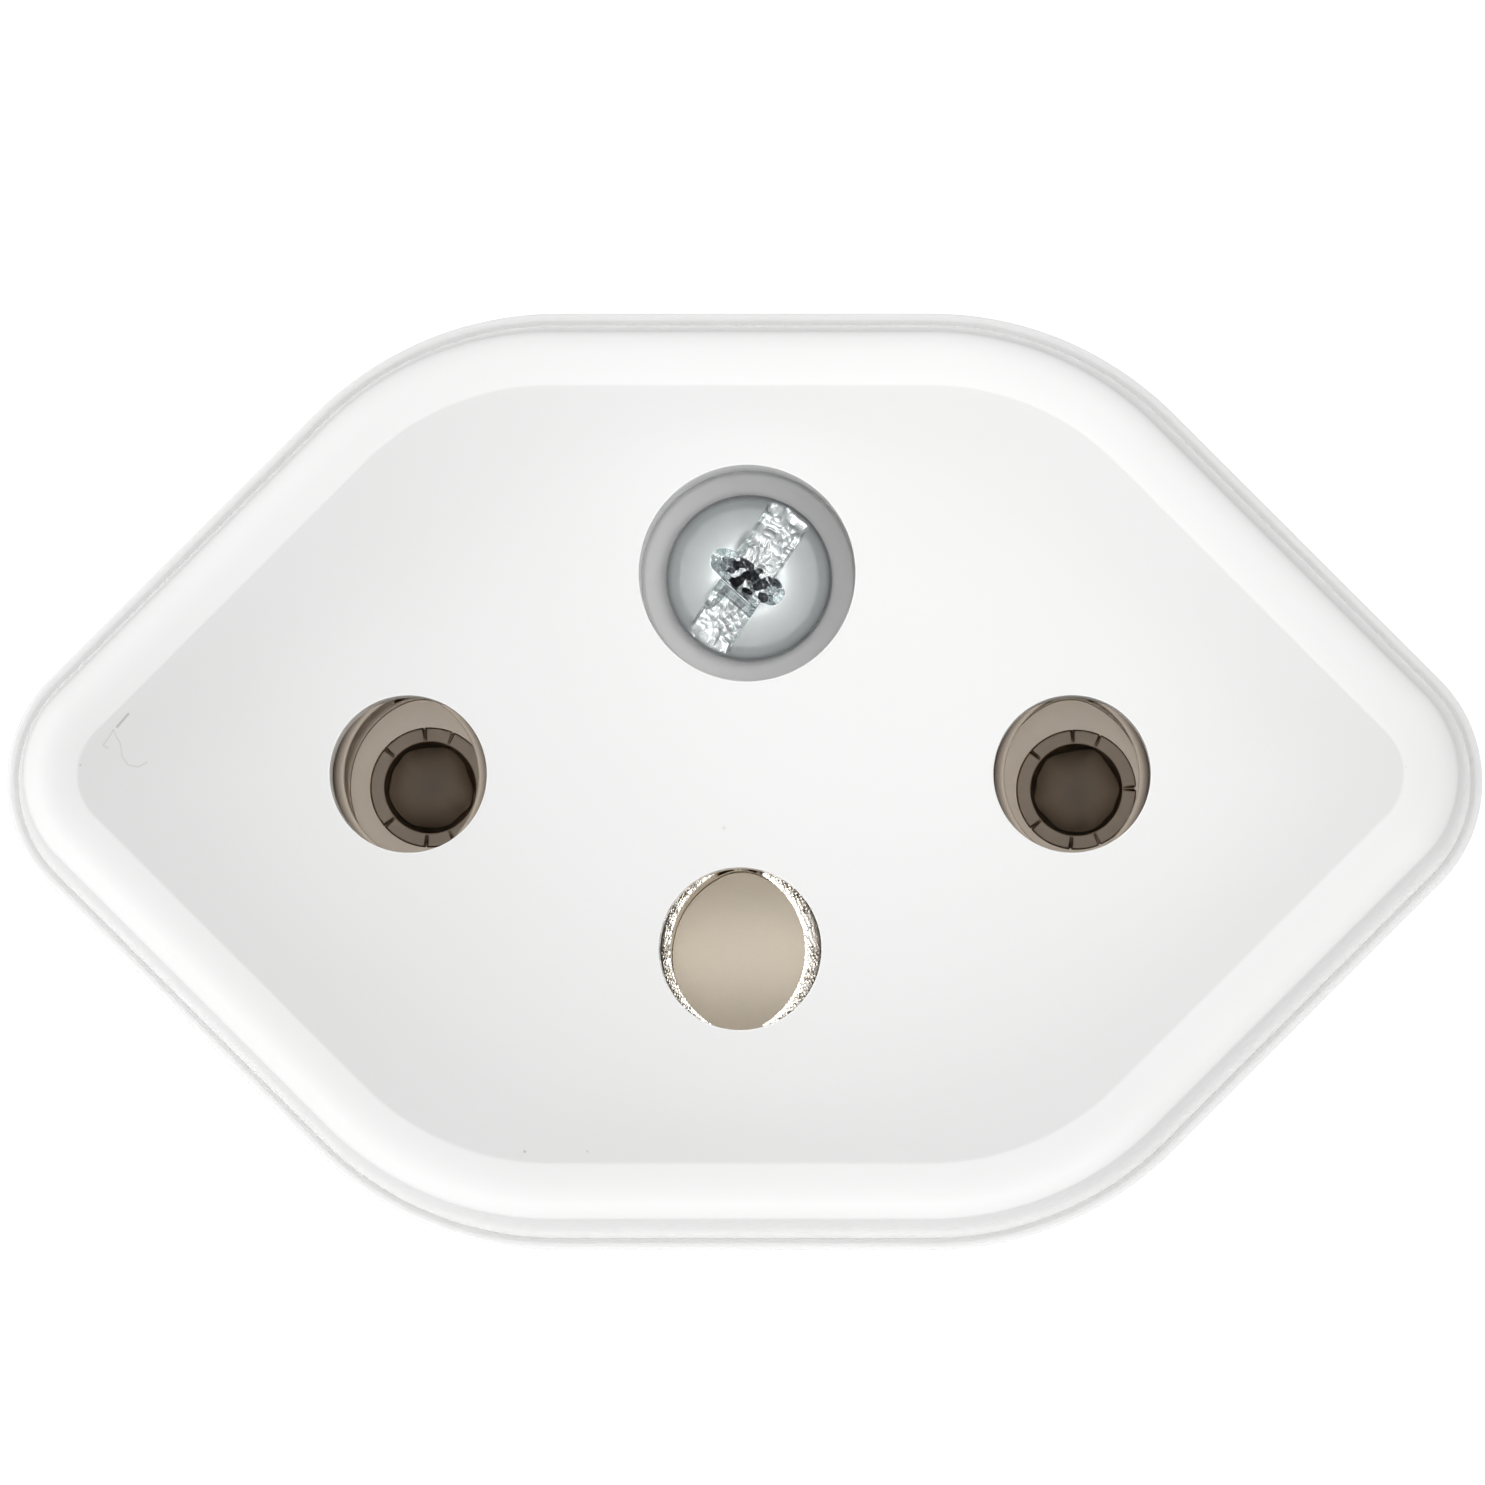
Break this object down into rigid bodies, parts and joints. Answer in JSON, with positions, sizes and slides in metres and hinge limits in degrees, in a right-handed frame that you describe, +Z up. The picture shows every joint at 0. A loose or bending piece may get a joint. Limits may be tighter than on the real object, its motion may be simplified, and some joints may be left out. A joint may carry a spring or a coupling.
{
  "type": "travel adapter",
  "caption": "Compact mains travel adapter: elongated hexagonal white body, earthed round-pin socket face in front, in-line round-pin plug behind, shells held by a recessed screw.",
  "frame": {"origin": "centre of the plug face, at the foot of the earth pin", "axes": "+X to the right as seen from the socket face, +Y from the socket face to the plug along its pins, +Z up"},
  "size_m": [0.043, 0.044, 0.0272],
  "materials": {
    "cover_plastic": "glossy moulded",
    "housing_plastic": "glossy moulded",
    "screw_zinc": "bright zinc plated",
    "insert_brass": "turned",
    "contact_metal": "drawn nickel silver",
    "spring_steel": "spring steel strip",
    "pin_metal": "nickel plated",
    "sleeve_plastic": "moulded"
  },
  "bodies": {
    "root": {"front_cover": "cover_plastic", "rear_housing": "housing_plastic", "cover_screw": "screw_zinc", "screw_insert": "insert_brass", "line_contact": "contact_metal", "neutral_contact": "contact_metal", "earth_contact": "contact_metal", "line_grip_spring": "spring_steel", "neutral_grip_spring": "spring_steel", "earth_grip_spring": "spring_steel", "earth_strap": "contact_metal", "line_pin": "pin_metal", "neutral_pin": "pin_metal", "earth_pin": "pin_metal", "line_pin_sleeve": "sleeve_plastic", "neutral_pin_sleeve": "sleeve_plastic"}
  },
  "joints": []
}
